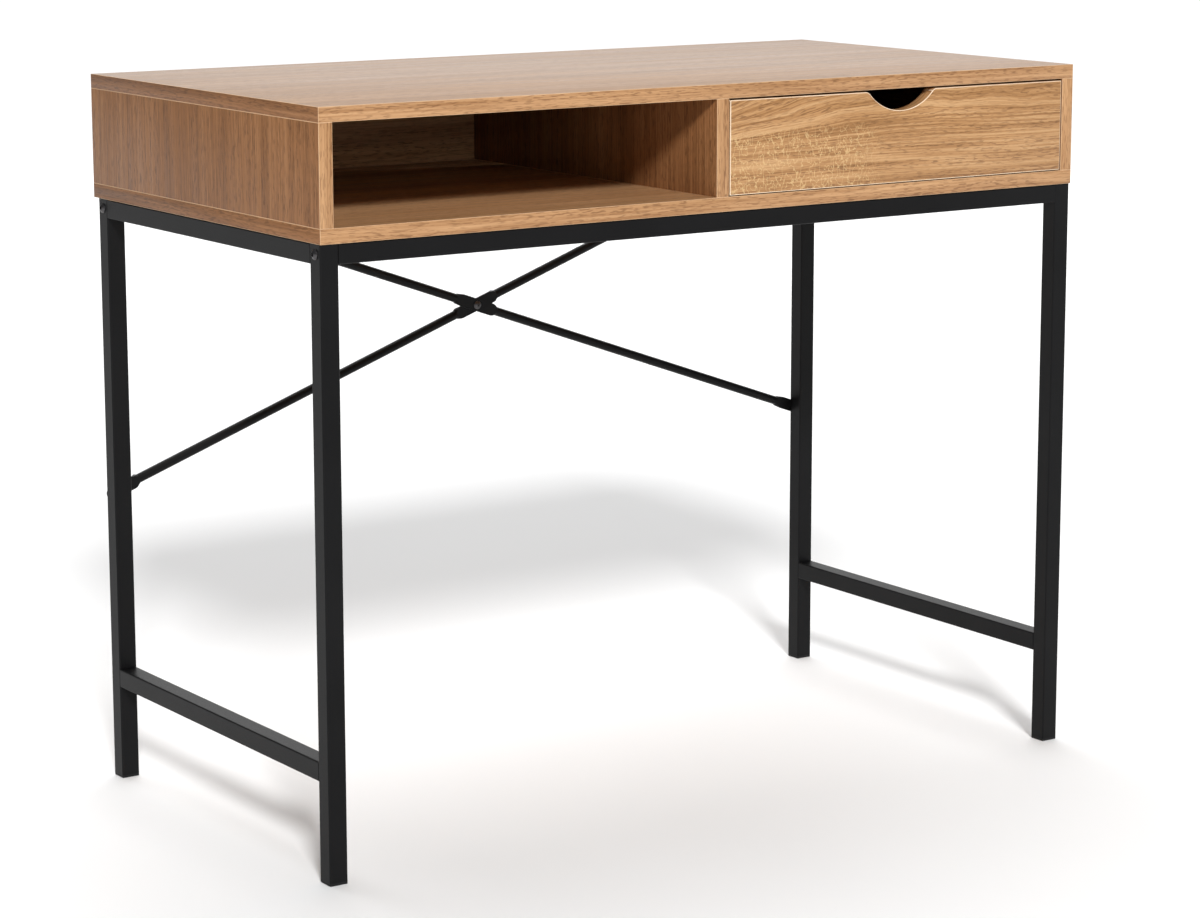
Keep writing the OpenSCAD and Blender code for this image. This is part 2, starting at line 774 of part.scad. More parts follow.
// Hole up through a rail for a carcass bolt, with a sunk seat for the bolt's head in the lower wall
module carcass_bolt_hole(x, y) {
    rod_z([x, y, rail_z - tube], m6_clear_r, 2 * tube);
    translate([x, y, rail_z - tube / 2]) {
        cylinder(r1 = m6_flush_r + small, r2 = m6_r + small, h = m6_flush_l, $fn = arc_fn);
        translate([0, 0, -reach]) cylinder(r = m6_flush_r + small, h = reach, $fn = arc_fn);
    }
}

module top_side_rail(side) {
    difference() {
        side_rail(side, rail_z);
        for (y = side_rail_bolt_ys) carcass_bolt_hole(side * leg_x, y);
    }
}

module left_top_rail() {
    color(black_steel) top_side_rail(-1);
}

module right_top_rail() {
    color(black_steel) top_side_rail(1);
}

module left_lower_rail() {
    color(black_steel) side_rail(-1, lower_rail_z + tube / 2);
}

module right_lower_rail() {
    color(black_steel) side_rail(1, lower_rail_z + tube / 2);
}

module cross_rail(y) {
    difference() {
        translate([-rail_half_l, y, rail_z]) rotate([0, 90, 0]) square_tube(2 * rail_half_l);
        for (s = [-1, 1]) carcass_bolt_hole(s * carcass_bolt_from_middle, y);
    }
}

module front_rail() {
    color(black_steel) cross_rail(leg_front_y);
}

module rear_rail() {
    color(black_steel) difference() {
        cross_rail(leg_back_y);
        for (s = [-1, 1]) rod_y([s * brace_top_x, leg_back_y, rail_z], rivet_nut_r + small, tube);
    }
}

// Threaded plug pressed into each end of the front and rear rails
module rail_end_plugs() {
    plug_w = tube_inner - 2 * plug_fit;
    color(zinc) for (s = [-1, 1], y = [leg_front_y, leg_back_y]) difference() {
        translate([s * (rail_half_l - end_plug_l / 2), y, rail_z]) cube([end_plug_l, plug_w, plug_w], center = true);
        rod_x([s * rail_half_l - end_plug_l - reach, y, rail_z], m6_r + small, 2 * (end_plug_l + reach));
    }
}

module frame_bolts() {
    color(black_steel) for (s = [-1, 1], y = [leg_front_y, leg_back_y])
        translate([s * (leg_x + tube / 2), y, rail_z]) rotate([0, s * 90, 0])
            button_bolt(m6_r, tube + frame_bolt_in_plug, m6_head_r, m6_head_h, m6_socket);
}

// Foot cap: a square sole with a chamfered rim, and a plug inside the leg
module foot(side, y) {
    chamfer = 1;
    plug_w = tube_inner - 2 * plug_fit;
    color(rubber_black) translate([side * leg_x, y, 0]) {
        difference() {
            linear_extrude(foot_t) tube_outline();
            for (a = [0 : 90 : 270]) rotate(a) translate([tube / 2, 0, 0]) rotate([0, 45, 0])
                cube([chamfer * sqrt(2), 2 * tube, chamfer * sqrt(2)], center = true);
        }
        translate([-plug_w / 2, -plug_w / 2, foot_t]) cube([plug_w, plug_w, foot_plug_l]);
    }
}

module front_left_foot() {
    foot(-1, leg_front_y);
}

module front_right_foot() {
    foot(1, leg_front_y);
}

module back_left_foot() {
    foot(-1, leg_back_y);
}

module back_right_foot() {
    foot(1, leg_back_y);
}

module carcass_bolts() {
    color(zinc) for (p = carcass_bolt_points) translate([p[0], p[1], rail_z - tube / 2]) difference() {
        flush_screw(m6_r, tube + carcass_bolt_in_board, m6_flush_r, m6_flush_l);
        translate([0, 0, -reach]) cylinder(d = m6_socket / cos(30), h = reach + socket_depth, $fn = 6);
    }
}

module carcass_inserts() {
    color(zinc) for (p = carcass_bolt_points) translate([p[0], p[1], bottom_z]) difference() {
        cylinder(r = insert_r, h = insert_l, $fn = arc_fn);
        translate([0, 0, -reach]) cylinder(r = m6_r + small, h = carcass_bolt_in_board + 2 * reach, $fn = arc_fn);
    }
}

// ---- Back braces ----

// Brace lying along X from its lower bolt, with its front plane at y = 0.
// middle_y is how far back the flattened middle lies.
module brace(middle_y) {
    flats = [
        [-flat_tip + flat_w / 2, flat_end_l, 0],
        [brace_cross_s - flat_middle_l, brace_cross_s + flat_middle_l, middle_y],
        [brace_l - flat_end_l, brace_l + flat_tip - flat_w / 2, 0]
    ];
    difference() {
        union() {
            for (f = flats) board([f[0], f[2], -flat_w / 2], [f[1] - f[0], flat_t, flat_w]);
            for (s = [flats[0][0], flats[2][1]]) rod_y([s, 0, 0], flat_w / 2, flat_t);
            for (i = [0, 1]) {
                flare(flats[i][1], 1, flats[i][2]);
                flare(flats[i + 1][0], -1, flats[i + 1][2]);
                brace_tube(flats[i][1] + flare_l - flare_overlap, flats[i + 1][0] - flare_l + flare_overlap);
            }
        }
        for (s = [0, brace_cross_s, brace_l]) rod_y([s, -reach, 0], m5_clear_r, brace_d + 2 * reach);
    }
}

// Stretch of open round tube between two flares
module brace_tube(s0, s1) {
    difference() {
        rod_x([s0, brace_d / 2, 0], brace_d / 2, s1 - s0);
        rod_x([s0 - reach, brace_d / 2, 0], brace_d / 2 - brace_wall, s1 - s0 + 2 * reach);
    }
}

// Change of section from a flat end at s to the round tube, towards dir:
// a cone around the tube's axis, cut down to the flat's thickness and width
module flare(s, dir, y) {
    tube_s = flare_l - flare_overlap;
    translate([s, 0, 0]) mirror([dir < 0 ? 1 : 0, 0, 0]) intersection() {
        translate([0, brace_d / 2, 0]) rotate([0, 90, 0])
            cylinder(r1 = flare_start_r, r2 = brace_d / 2 - flare_step, h = flare_l, $fn = arc_fn);
        translate([0, 0, -flat_w]) linear_extrude(2 * flat_w)
            polygon([[0, y], [0, y + flat_t], [tube_s, brace_d - small], [flare_l, brace_d - small],
                     [flare_l, flare_step]]);
        rotate([90, 0, 0]) translate([0, 0, -2 * brace_d]) linear_extrude(4 * brace_d)
            polygon([[0, -flat_w / 2], [0, flat_w / 2], [flare_l, brace_d / 2 + flare_step],
                     [flare_l, -brace_d / 2 - flare_step]]);
    }
}

module rising_brace() {
    color(black_steel) translate([-leg_x, frame_back_y, brace_low_z]) rotate([0, -brace_angle, 0]) brace(flat_t);
}

module falling_brace() {
    color(black_steel) mirror([1, 0, 0]) translate([-leg_x, frame_back_y, brace_low_z])
        rotate([0, -brace_angle, 0]) brace(0);
}

// Places its children at the four brace ends, with Z pointing backwards
module at_brace_ends() {
    for (s = [-1, 1], p = [[leg_x, brace_low_z], [brace_top_x, rail_z]])
        translate([s * p[0], frame_back_y, p[1]]) rotate([-90, 0, 0]) children();
}

module brace_bolts() {
    color(black_steel) at_brace_ends() translate([0, 0, flat_t])
        button_bolt(m5_r, brace_bolt_l, m5_head_r, m5_head_h, m5_socket);
}

module brace_rivet_nuts() {
    color(zinc) at_brace_ends() difference() {
        translate([0, 0, -rivet_nut_l]) cylinder(r = rivet_nut_r, h = rivet_nut_l, $fn = arc_fn);
        translate([0, 0, -rivet_nut_l - reach])
            cylinder(r = m5_r + small, h = rivet_nut_l + 2 * reach, $fn = arc_fn);
    }
}

module brace_centre_bolt() {
    color(black_steel) translate([0, frame_back_y, brace_cross_z]) rotate([90, 0, 0])
        button_bolt(m5_r, 2 * flat_t + m5_nut_h, m5_head_r, m5_head_h, m5_socket);
}

module brace_centre_nut() {
    color(black_steel) translate([0, frame_back_y + 2 * flat_t, brace_cross_z]) rotate([-90, 0, 0]) difference() {
        hexagon(m5_nut_w, m5_nut_h);
        translate([0, 0, -reach]) cylinder(r = m5_r + small, h = m5_nut_h + 2 * reach, $fn = arc_fn);
    }
}

top_panel();
bottom_panel();
left_side_panel();
right_side_panel();
divider_panel();
back_panel();
cam_bolts();
cam_locks();
dowels();
base_screws();
drawer_front();
drawer_left_side();
drawer_right_side();
drawer_back();
drawer_bottom();
drawer_cam_bolts();
drawer_cam_locks();
drawer_back_screws();
left_cabinet_runner();
right_cabinet_runner();
left_drawer_runner();
right_drawer_runner();
left_cabinet_roller();
right_cabinet_roller();
left_drawer_roller();
right_drawer_roller();
cabinet_roller_pins();
drawer_roller_pins();
cabinet_runner_screws();
drawer_runner_screws();
front_left_leg();
front_right_leg();
back_left_leg();
back_right_leg();
left_top_rail();
right_top_rail();
left_lower_rail();
right_lower_rail();
front_rail();
rear_rail();
rail_end_plugs();
frame_bolts();
front_left_foot();
front_right_foot();
back_left_foot();
back_right_foot();
carcass_bolts();
carcass_inserts();
rising_brace();
falling_brace();
brace_bolts();
brace_rivet_nuts();
brace_centre_bolt();
brace_centre_nut();
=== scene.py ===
# A writing desk: oak-foil boards with a cubby and a drawer, on a black tube frame with crossed braces.
# The sections follow the desk as it is put together. Lengths are in metres, +Z is up, -Y is the front.
import math

import bpy
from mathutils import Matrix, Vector


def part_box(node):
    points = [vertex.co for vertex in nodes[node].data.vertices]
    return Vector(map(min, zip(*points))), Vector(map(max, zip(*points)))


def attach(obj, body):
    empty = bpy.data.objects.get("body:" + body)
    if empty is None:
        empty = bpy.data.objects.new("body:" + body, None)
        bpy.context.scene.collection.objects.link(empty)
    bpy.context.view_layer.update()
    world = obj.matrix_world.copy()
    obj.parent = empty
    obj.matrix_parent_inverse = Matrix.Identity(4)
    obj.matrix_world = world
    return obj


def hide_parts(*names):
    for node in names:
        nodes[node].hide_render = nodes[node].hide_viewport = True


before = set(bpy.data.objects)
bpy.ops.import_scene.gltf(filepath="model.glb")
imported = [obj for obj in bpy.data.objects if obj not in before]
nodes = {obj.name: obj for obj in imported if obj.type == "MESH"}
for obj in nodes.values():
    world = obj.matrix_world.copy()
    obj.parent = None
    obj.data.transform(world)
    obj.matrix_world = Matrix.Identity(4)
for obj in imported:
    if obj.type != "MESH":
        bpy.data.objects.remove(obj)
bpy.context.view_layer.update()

scene = bpy.context.scene
bpy.ops.object.select_all(action="DESELECT")


# ---------------------------------------------------------------------------
# The studio: a pale seamless floor under a dim white surround, four white
# lamps (a key at the front left, a broad one behind and above, a faint low one and
# a wide panel at the back), and the camera. None of it is part of the desk.

def add(tree, kind, plugs, **settings):
    """One shader node: settings are its options, plugs its inputs, as values or as links."""
    made = tree.nodes.new("ShaderNode" + kind)
    for key, value in settings.items():
        setattr(made, key, value)
    for key, value in plugs.items():
        if isinstance(value, bpy.types.NodeSocket):
            tree.links.new(value, made.inputs[key])
        else:
            made.inputs[key].default_value = value
    return made


def paint(red, green, blue):
    """A colour mixed from the 0 to 255 values that a colour card gives."""
    card = [value / 255 for value in (red, green, blue)]
    return tuple(c / 12.92 if c <= 0.04045 else ((c + 0.055) / 1.055) ** 2.4 for c in card) + (1.0,)


def finish_named(name):
    """A new material, with its shader and its node tree."""
    material = bpy.data.materials.new(name)
    material.use_nodes = True
    return material, material.node_tree.nodes["Principled BSDF"], material.node_tree


def speckle(tree, vector, detail=2.0, scale=1.0):
    return add(tree, "TexNoise", {"Vector": vector, "Scale": scale, "Detail": detail}).outputs["Fac"]


def blended(tree, factor, first, second):
    """One colour laid over another by a factor."""
    return add(tree, "Mix", {0: factor, 6: first, 7: second}, data_type="RGBA").outputs[2]


floor_size = 60.0
bpy.ops.mesh.primitive_plane_add(size=floor_size, location=(0, 0, 0))
studio_floor = bpy.context.object
studio_floor.name = "studio_floor"
floor_white, floor_shader, floor_tree = finish_named("studio_paper")
paper_mottle = speckle(floor_tree, add(floor_tree, "TexCoord", {}).outputs["Object"], scale=2.0)
floor_tree.links.new(
    blended(floor_tree, paper_mottle, paint(246, 246, 246), paint(250, 250, 250)), floor_shader.inputs["Base Color"])
floor_shader.inputs["Roughness"].default_value = 0.9
floor_shader.inputs["Specular IOR Level"].default_value = 0.1
studio_floor.data.materials.append(floor_white)

surround = bpy.data.worlds.new("studio_surround")
surround.use_nodes = True
surround_light = surround.node_tree.nodes["Background"].inputs
surround_light["Color"].default_value = (1, 1, 1, 1)
surround_light["Strength"].default_value = 0.22
scene.world = surround
scene.view_settings.view_transform = "Standard"


def lamp_from(name, kind, azimuth, elevation, strength, spread_angle=0.0, distance=6.0, size=(1.0, 1.0)):
    """A soft lamp that shines at the carcass; azimuth is measured from the front to the left."""
    turn, lift = math.radians(azimuth), math.radians(elevation)
    aim = Vector((0, 0, 0.6))
    towards = Vector((-math.sin(turn) * math.cos(lift), -math.cos(turn) * math.cos(lift), math.sin(lift)))
    data = bpy.data.lights.new(name, kind)
    data.energy = strength
    if kind == "SUN":
        data.angle = math.radians(spread_angle)
    else:
        data.shape = "RECTANGLE"
        data.size, data.size_y = size
    lamp = bpy.data.objects.new(name, data)
    scene.collection.objects.link(lamp)
    lamp.location = aim + towards * distance
    lamp.rotation_euler = towards.to_track_quat("Z", "Y").to_euler()
    lamp.visible_camera = False


lamp_from("key_lamp", "SUN", azimuth=24, elevation=32, strength=3.0, spread_angle=10)
lamp_from("top_lamp", "SUN", azimuth=205, elevation=62, strength=1.6, spread_angle=50)
lamp_from("low_lamp", "SUN", azimuth=20, elevation=9, strength=0.12, spread_angle=2)
lamp_from("rear_panel", "AREA", azimuth=214, elevation=17, strength=62, distance=6.5, size=(5.0, 2.4))

camera_data = bpy.data.cameras.new("desk_camera")
camera_data.sensor_width = 36
camera_data.lens = 100.85
camera_data.shift_x = -0.0183
camera_data.shift_y = -0.0342
camera_data.clip_end = 100
camera = bpy.data.objects.new("desk_camera", camera_data)
scene.collection.objects.link(camera)
camera.location = (-2.0121, -2.9906, 1.0347)
camera.rotation_euler = [math.radians(angle) for angle in (79.713, 0.005, -34.464)]
scene.camera = camera


# ---------------------------------------------------------------------------
# Bottom panel: a 15 mm particle board faced with oak-print foil, its grain along
# the desk. Thin edge strips close all four edges and show as a fine pale line.

X, Y, Z = 0, 1, 2
arris = 0.0004


def solid_board(name, node, turned_edge=arris):
    """A board the size of its CAD solid, with softened arrises that take the second material slot."""
    low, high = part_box(node)
    bpy.ops.object.select_all(action="DESELECT")
    bpy.ops.mesh.primitive_cube_add(size=1, location=(low + high) / 2, scale=high - low)
    bpy.ops.object.transform_apply(location=True, rotation=True, scale=True)
    piece = bpy.context.object
    piece.name = piece.data.name = name
    for _ in range(2):
        piece.data.materials.append(None)
    if turned_edge:
        bpy.ops.object.mode_set(mode="EDIT")
        bpy.ops.mesh.select_all(action="SELECT")
        bpy.ops.mesh.bevel(offset=turned_edge, segments=2, affect="EDGES", material=1)
        bpy.ops.object.mode_set(mode="OBJECT")
    return piece


def cut_with(piece, cutter):
    """Cuts the cutter's shape out of a piece and throws the cutter away."""
    cut = piece.modifiers.new("cut", "BOOLEAN")
    cut.operation = "DIFFERENCE"
    cut.solver = "EXACT"
    cut.object = cutter
    bpy.ops.object.select_all(action="DESELECT")
    bpy.context.view_layer.objects.active = piece
    piece.select_set(True)
    bpy.ops.object.modifier_apply(modifier=cut.name)
    bpy.data.objects.remove(cutter)


same_point = 0.000002


def bed_fittings(piece, node):
    """Drills and countersinks a board in the shape of the fittings that sit in it."""
    cutter = nodes[node].copy()
    cutter.data = nodes[node].data.copy()
    cutter.parent = None
    cutter.name = "fitting_cutter"
    scene.collection.objects.link(cutter)
    bpy.ops.object.select_all(action="DESELECT")
    bpy.context.view_layer.objects.active = cutter
    cutter.select_set(True)
    bpy.ops.object.mode_set(mode="EDIT")
    bpy.ops.mesh.select_all(action="SELECT")
    bpy.ops.mesh.remove_doubles(threshold=same_point)
    bpy.ops.object.mode_set(mode="OBJECT")
    cutter.data.materials.clear()
    cut_with(piece, cutter)


def lay_grain(piece, along, seed):
    """Writes the foil's own coordinates on each face: along the grain, across it, and the sheet it came from."""
    low, high = Vector(piece.bound_box[0]), Vector(piece.bound_box[6])
    middle, size = (low + high) / 2, high - low
    grain = piece.data.attributes.new("grain", "FLOAT_VECTOR", "CORNER")
    for face in piece.data.polygons:
        facing = max((X, Y, Z), key=lambda axis: abs(face.normal[axis]))
        rest = [axis for axis in (X, Y, Z) if axis != facing]
        run = along if along != facing else max(rest, key=lambda axis: size[axis])
        across = next(axis for axis in rest if axis != run)
        sheet = seed * 7.3 + facing * 3.1 + (1.7 if face.normal[facing] > 0 else 0)
        for loop in face.loop_indices:
            place = piece.data.vertices[piece.data.loops[loop].vertex_index].co - middle
            grain.data[loop].vector = (place[run], place[across], sheet)


def sum_of(tree, operation, first, second, third=0.0):
    return add(tree, "Math", {0: first, 1: second, 2: third}, operation=operation).outputs[0]


def stretched(tree, vector, factors):
    return add(tree, "VectorMath", {0: vector, 1: factors}, operation="MULTIPLY").outputs[0]


def spread(tree, value, low, high, to_low=0.0, to_high=1.0):
    """Value between low and high, spread out to a new range and held at its ends."""
    return add(tree, "MapRange", {0: value, 1: low, 2: high, 3: to_low, 4: to_high}).outputs[0]


def oak_foil(name, dark, mid, pale, pore, contrast=1.0, gloss=0.3, figured=False):
    """Printed oak foil: broad bands, streaks, fine fibres and short dark pores that run along the grain."""
    material, shader, tree = finish_named(name)
    grain = add(tree, "Attribute", {}, attribute_name="grain").outputs["Vector"]
    sway = speckle(tree, stretched(tree, grain, (2.4, 7.0, 1.0)), detail=1.0)
    shift = sum_of(tree, "MULTIPLY_ADD", sway, 0.016, -0.008)
    parts = add(tree, "SeparateXYZ", {0: grain})
    run, across, sheet = parts.outputs
    if figured:
        # The foil of the drawer front is printed with the flank of an arched figure in its upper half.
        away = sum_of(tree, "MINIMUM", sum_of(tree, "SUBTRACT", run, 0.03), 0.0)
        fall = sum_of(tree, "MULTIPLY", sum_of(tree, "MULTIPLY", away, away), 0.62)
        upper = spread(tree, across, -0.012, 0.03)
        shift = sum_of(tree, "MULTIPLY_ADD", fall, upper, shift)
        ripple = speckle(tree, stretched(tree, grain, (16.0, 30.0, 1.0)), detail=1.0)
        shift = sum_of(tree, "MULTIPLY_ADD", sum_of(tree, "MULTIPLY", ripple, upper), 0.010, shift)
    straight = add(tree, "CombineXYZ", {0: run, 1: sum_of(tree, "ADD", across, shift), 2: sheet}).outputs[0]
    bands = speckle(tree, stretched(tree, straight, (0.9, 24.0, 1.0)), detail=1.0)
    streaks = speckle(tree, stretched(tree, straight, (2.6, 120.0, 1.0)), detail=1.5)
    fibres = speckle(tree, stretched(tree, straight, (8.0, 460.0, 1.0)), detail=2.0)
    pores = speckle(tree, stretched(tree, straight, (95.0, 760.0, 1.0)), detail=1.0)
    tone = sum_of(tree, "MULTIPLY_ADD", bands, 0.34, sum_of(tree, "MULTIPLY", streaks, 0.22))
    tone = sum_of(tree, "MULTIPLY_ADD", fibres, 0.44, tone)
    tone = spread(tree, tone, 0.5 - 0.13 / contrast, 0.5 + 0.13 / contrast)
    ramp = add(tree, "ValToRGB", {0: tone})
    ramp.color_ramp.elements[0].color = dark
    ramp.color_ramp.elements[1].color = pale
    ramp.color_ramp.elements.new(0.52).color = mid
    pits = sum_of(tree, "MULTIPLY", spread(tree, pores, 0.53, 0.62), spread(tree, streaks, 0.62, 0.40, 0.35, 1.0))
    colour = blended(tree, sum_of(tree, "MULTIPLY", pits, 0.62), ramp.outputs[0], pore)
    height = sum_of(tree, "MULTIPLY_ADD", pits, -1.0, sum_of(tree, "MULTIPLY", fibres, 0.4))
    if figured:
        # Pale ray flecks stand across the grain in the lower part, to the left of the middle.
        field = sum_of(tree, "MULTIPLY", spread(tree, run, -0.02, -0.06), spread(tree, across, 0.020, 0.006))
        leaning = add(tree, "Mapping", {"Vector": grain, "Rotation": (0, 0, math.radians(20)), "Scale": (190, 110, 1)})
        waves = speckle(tree, leaning.outputs[0], detail=1.5)
        off_crest = sum_of(tree, "ABSOLUTE", sum_of(tree, "SUBTRACT", waves, 0.5), 0.0)
        flecks = sum_of(tree, "MULTIPLY", spread(tree, off_crest, 0.030, 0.012), field)
        colour = blended(tree, sum_of(tree, "MULTIPLY", flecks, 0.6), colour, paint(210, 178, 128))
        height = sum_of(tree, "MULTIPLY_ADD", flecks, 0.8, height)
    tree.links.new(colour, shader.inputs["Base Color"])
    tree.links.new(spread(tree, streaks, 0.3, 0.7, 0.40, 0.52), shader.inputs["Roughness"])
    shader.inputs["Specular IOR Level"].default_value = gloss
    relief = add(tree, "Bump", {"Strength": 0.3, "Distance": 0.0002, "Height": height})
    tree.links.new(relief.outputs[0], shader.inputs["Normal"])
    return material


def edge_strip(name, colour, worn):
    """The cut line of the plastic edge strip, which shows pale along an arris."""
    material, shader, tree = finish_named(name)
    place = add(tree, "TexCoord", {}).outputs["Object"]
    rubbed = spread(tree, speckle(tree, place, detail=3.0, scale=55.0), 0.35, 0.65)
    tree.links.new(blended(tree, rubbed, colour, worn), shader.inputs["Base Color"])
    tree.links.new(spread(tree, rubbed, 0, 1, 0.35, 0.5), shader.inputs["Roughness"])
    return material


def dress(piece, node, along, seed, foil, line, body="desk"):
    """Lays the grain, gives the face and arris finishes, and lets the piece stand for its CAD solid."""
    lay_grain(piece, along, seed)
    piece.data.materials[0] = foil
    piece.data.materials[1] = line
    bpy.context.view_layer.objects.active = piece
    piece.select_set(True)
    bpy.ops.object.shade_smooth_by_angle(angle=math.radians(35))
    piece.select_set(False)
    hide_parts(node)
    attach(piece, body)


carcass_foil = oak_foil(
    "carcass_oak_foil", paint(152, 110, 72), paint(179, 137, 97), paint(197, 155, 113), paint(112, 76, 48), gloss=0.2)
strip_line = edge_strip("oak_strip_line", paint(196, 158, 120), paint(212, 176, 138))

# A darker, browner copy of the oak foil for the faces that look sideways: painted shade, standing in for these faces
# being turned away from the key lamp.
shaded_side_foil = oak_foil(
    "side_oak_foil_painted_shade", paint(118, 79, 48), paint(141, 97, 61), paint(158, 113, 75), paint(86, 56, 34), gloss=0.2)


def end_strips(piece, axis, foil):
    """Gives the faces across an axis another foil than the rest: the darker side foil put there is painted shade, the
    paler carcass foil is the foil's plain tone.
    """
    piece.data.materials.append(foil)
    for face in piece.data.polygons:
        if abs(face.normal[axis]) > 0.99 and face.material_index == 0:
            face.material_index = len(piece.data.materials) - 1


bottom_board = solid_board("bottom_board", "bottom_panel")
bed_fittings(bottom_board, "base_screws")
bed_fittings(bottom_board, "carcass_inserts")
dress(bottom_board, "bottom_panel", X, 1, carcass_foil, strip_line)
# The ends of the bottom board take the darker side foil as painted shade.
end_strips(bottom_board, X, shaded_side_foil)


# ---------------------------------------------------------------------------
# Uprights: the left side, the right side and the divider, 15 mm foil-faced board
# with the grain standing. Screws from below, dowels and cam fittings hold them.

for seed, (board_name, node) in enumerate(
        (("left_side_board", "left_side_panel"), ("right_side_board", "right_side_panel"),
         ("divider_board", "divider_panel")), start=2):
    upright = solid_board(board_name, node)
    bed_fittings(upright, "cam_locks")
    # The faces of the uprights take the darker side foil as painted shade; their front and back edges take the paler
    # carcass foil.
    dress(upright, node, Z, seed, shaded_side_foil, strip_line)
    end_strips(upright, Y, carcass_foil)


# ---------------------------------------------------------------------------
# Back board: closes the cubby and the drawer bay a little in from the rear edge.
# It is the same foil-faced board, with the grain along the desk.

back_board = solid_board("back_board", "back_panel")
dress(back_board, "back_panel", X, 5, carcass_foil, strip_line)


# ---------------------------------------------------------------------------
# Desk top: 15 mm foil-faced board with the grain along the desk. Its upper face takes a greyer,
# less contrasted copy of the foil; the greyer tone is painted sheen.

top_sheen_foil = oak_foil(
    "top_oak_foil_painted_sheen", paint(146, 115, 88), paint(165, 132, 103), paint(179, 146, 117), paint(116, 86, 62),
    contrast=0.8, gloss=0.36)

top_board = solid_board("top_board", "top_panel")
dress(top_board, "top_panel", X, 6, carcass_foil, strip_line)
# The ends of the desk top take the darker side foil as painted shade.
end_strips(top_board, X, shaded_side_foil)
# Only the upward face takes the greyer top foil, whose greyer tone is painted sheen.
top_board.data.materials.append(top_sheen_foil)
top_sheen_foil_index = len(top_board.data.materials) - 1
for face in top_board.data.polygons:
    if face.normal.z > 0.99:
        face.material_index = top_sheen_foil_index


# ---------------------------------------------------------------------------
# Carcass fittings: bright zinc-plated cam bolts and screws, dull die-cast cam
# locks and inserts, and fluted beech dowels. Most of them are buried in the boards.

def repaint(material, *names):
    """Gives CAD solids a better finish in the material slots that they have."""
    for name in names:
        for holder in nodes[name].material_slots:
            holder.material = material


def plated_metal(name, cool, warm, roughness, grit):
    """Bare or plated metal whose plating drifts between two tints."""
    material, shader, tree = finish_named(name)
    place = add(tree, "TexCoord", {}).outputs["Object"]
    drift = spread(tree, speckle(tree, place, detail=2.0, scale=60.0), 0.35, 0.65)
    fine = speckle(tree, place, detail=3.0, scale=grit)
    tree.links.new(blended(tree, drift, cool, warm), shader.inputs["Base Color"])
    tree.links.new(spread(tree, fine, 0.3, 0.7, roughness - 0.08, roughness + 0.08), shader.inputs["Roughness"])
    relief = add(tree, "Bump", {"Strength": 0.2, "Distance": 0.00005, "Height": fine})
    tree.links.new(relief.outputs[0], shader.inputs["Normal"])
    shader.inputs["Metallic"].default_value = 1.0
    return material


def plain_wood(name, dark, pale, stretch):
    """Raw wood whose streaks run along the axis that is stretched least."""
    material, shader, tree = finish_named(name)
    place = add(tree, "TexCoord", {}).outputs["Object"]
    streak = speckle(tree, stretched(tree, place, stretch), detail=3.0)
    tree.links.new(blended(tree, spread(tree, streak, 0.3, 0.7), dark, pale), shader.inputs["Base Color"])
    relief = add(tree, "Bump", {"Strength": 0.3, "Distance": 0.0002, "Height": streak})
    tree.links.new(relief.outputs[0], shader.inputs["Normal"])
    shader.inputs["Roughness"].default_value = 0.7
    return material


bright_zinc = plated_metal("bright_zinc", paint(196, 202, 210), paint(206, 202, 190), 0.28, 900.0)
cast_zinc = plated_metal("cast_zinc", paint(160, 162, 166), paint(172, 170, 164), 0.45, 500.0)
beech = plain_wood("fluted_beech", paint(196, 152, 104), paint(222, 184, 140), (700.0, 700.0, 40.0))
repaint(bright_zinc, "cam_bolts", "base_screws", "carcass_bolts", "rail_end_plugs")
repaint(cast_zinc, "cam_locks", "carcass_inserts")
repaint(beech, "dowels")


# ---------------------------------------------------------------------------
# Drawer front: one 15 mm board set flush in its opening, with a scooped finger
# notch in the top edge. Its foil has an arched figure and ray flecks, and a pale
# edge strip runs all the way round it, the notch included.

scoop_radius = 0.057
scoop_depth = 0.021
shoulder_radius = 0.008
front_arris = 0.0008


def round_cutter(x, z, radius, y, length, sides):
    """A round bar along Y, for cutting the scoop or shaping its shoulders."""
    bpy.ops.object.select_all(action="DESELECT")
    bpy.ops.mesh.primitive_cylinder_add(
        vertices=sides, radius=radius, depth=length, location=(x, y, z), rotation=(math.radians(90), 0, 0))
    bpy.ops.object.transform_apply(location=True, rotation=True, scale=True)
    return bpy.context.object


front_low, front_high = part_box("drawer_front")
front_middle = (front_low + front_high) / 2
front_depth = 2 * (front_high.y - front_low.y)
scoop_z = front_high.z + scoop_radius - scoop_depth
reach = scoop_radius + shoulder_radius
shoulder_x = math.sqrt(reach ** 2 - (scoop_z - front_high.z + shoulder_radius) ** 2)
touch_z = scoop_z - (scoop_z - front_high.z + shoulder_radius) * scoop_radius / reach

drawer_face = solid_board("drawer_face", "drawer_front", turned_edge=0)
clear_above = 0.004
bpy.ops.mesh.primitive_cube_add(
    size=1, location=(front_middle.x, front_middle.y, (touch_z + front_high.z + clear_above) / 2),
    scale=(2 * shoulder_x, front_depth, front_high.z + clear_above - touch_z))
bpy.ops.object.transform_apply(location=True, rotation=True, scale=True)
shoulder_block = bpy.context.object
for side in (-1, 1):
    cut_with(shoulder_block, round_cutter(
        front_middle.x + side * shoulder_x, front_high.z - shoulder_radius, shoulder_radius,
        front_middle.y, 2 * front_depth, sides=64))
cut_with(drawer_face, shoulder_block)
cut_with(drawer_face, round_cutter(front_middle.x, scoop_z, scoop_radius, front_middle.y, front_depth, sides=200))
bpy.ops.object.mode_set(mode="EDIT")
bpy.ops.mesh.select_all(action="SELECT")
bpy.ops.mesh.remove_doubles(threshold=10 * same_point)
bpy.ops.mesh.select_all(action="DESELECT")
bpy.ops.mesh.select_mode(type="EDGE")
bpy.ops.mesh.edges_select_sharp(sharpness=math.radians(40))
bpy.ops.mesh.bevel(offset=front_arris, segments=2, affect="EDGES", material=1, clamp_overlap=False)
